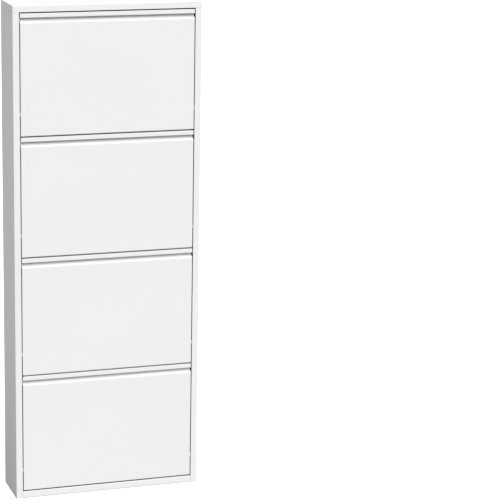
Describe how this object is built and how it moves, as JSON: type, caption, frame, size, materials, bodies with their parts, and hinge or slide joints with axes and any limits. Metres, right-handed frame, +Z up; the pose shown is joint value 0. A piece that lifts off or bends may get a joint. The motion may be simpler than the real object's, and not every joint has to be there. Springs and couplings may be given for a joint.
{
  "type": "shoe cabinet",
  "caption": "Tall shallow sheet-steel shoe cabinet whose front is tip-out flaps, each carrying a shoe bin and a finger-groove lip, hinged low on the case.",
  "frame": {"origin": "on the floor, under the middle of the case's outline", "axes": "+Z up along the height, +X to the right seen from the front, +Y towards the back (the flaps open towards -Y)"},
  "size_m": [0.51, 0.142, 1.34],
  "materials": {
    "case_enamel": "gloss white baked enamel outside, dark grey coat inside",
    "flap_enamel": "gloss white baked enamel outside, dark grey coat inside",
    "inner_enamel": "gloss dark grey back coat",
    "zinc_steel": "bright zinc plated",
    "nylon": "natural white nylon",
    "rubber": "matt black rubber",
    "glide_plastic": "matt black plastic"
  },
  "bodies": {
    "case": {"side_panel_right": "case_enamel", "side_panel_left": "case_enamel", "hinge_rail_right": "inner_enamel", "hinge_rail_left": "inner_enamel", "top_cap": "case_enamel", "base_rail": "case_enamel", "floor_plate": "inner_enamel", "back_panel": "inner_enamel", "wall_plates": "inner_enamel", "top_rail": "inner_enamel", "pivot_pins": "zinc_steel", "stop_brackets": "zinc_steel", "back_screws": "zinc_steel", "cap_screws": "zinc_steel", "floor_screws": "zinc_steel", "floor_glides": "glide_plastic"},
    "flap_1": {"flap_1_front_panel": "flap_enamel", "flap_1_cheek_right": "flap_enamel", "flap_1_cheek_left": "flap_enamel", "flap_1_toe_tray": "inner_enamel", "flap_1_pivot_bushes": "nylon", "flap_1_stop_pins": "zinc_steel", "flap_1_stop_sleeves": "rubber", "flap_1_tray_rivets": "zinc_steel"},
    "flap_2": {"flap_2_front_panel": "flap_enamel", "flap_2_cheek_right": "flap_enamel", "flap_2_cheek_left": "flap_enamel", "flap_2_toe_tray": "inner_enamel", "flap_2_pivot_bushes": "nylon", "flap_2_stop_pins": "zinc_steel", "flap_2_stop_sleeves": "rubber", "flap_2_tray_rivets": "zinc_steel"},
    "flap_3": {"flap_3_front_panel": "flap_enamel", "flap_3_cheek_right": "flap_enamel", "flap_3_cheek_left": "flap_enamel", "flap_3_toe_tray": "inner_enamel", "flap_3_pivot_bushes": "nylon", "flap_3_stop_pins": "zinc_steel", "flap_3_stop_sleeves": "rubber", "flap_3_tray_rivets": "zinc_steel"},
    "flap_4": {"flap_4_front_panel": "flap_enamel", "flap_4_cheek_right": "flap_enamel", "flap_4_cheek_left": "flap_enamel", "flap_4_toe_tray": "inner_enamel", "flap_4_pivot_bushes": "nylon", "flap_4_stop_pins": "zinc_steel", "flap_4_stop_sleeves": "rubber", "flap_4_tray_rivets": "zinc_steel"}
  },
  "joints": [
    {"name": "flap_1_hinge", "type": "hinge", "parent": "case", "child": "flap_1", "pos_m": [0, -0.063, 1.0545], "axis": [1, 0, 0], "range_deg": [0, 60]},
    {"name": "flap_2_hinge", "type": "hinge", "parent": "case", "child": "flap_2", "pos_m": [0, -0.063, 0.7295], "axis": [1, 0, 0], "range_deg": [0, 60]},
    {"name": "flap_3_hinge", "type": "hinge", "parent": "case", "child": "flap_3", "pos_m": [0, -0.063, 0.4045], "axis": [1, 0, 0], "range_deg": [0, 60]},
    {"name": "flap_4_hinge", "type": "hinge", "parent": "case", "child": "flap_4", "pos_m": [0, -0.063, 0.0795], "axis": [1, 0, 0], "range_deg": [0, 60]}
  ]
}
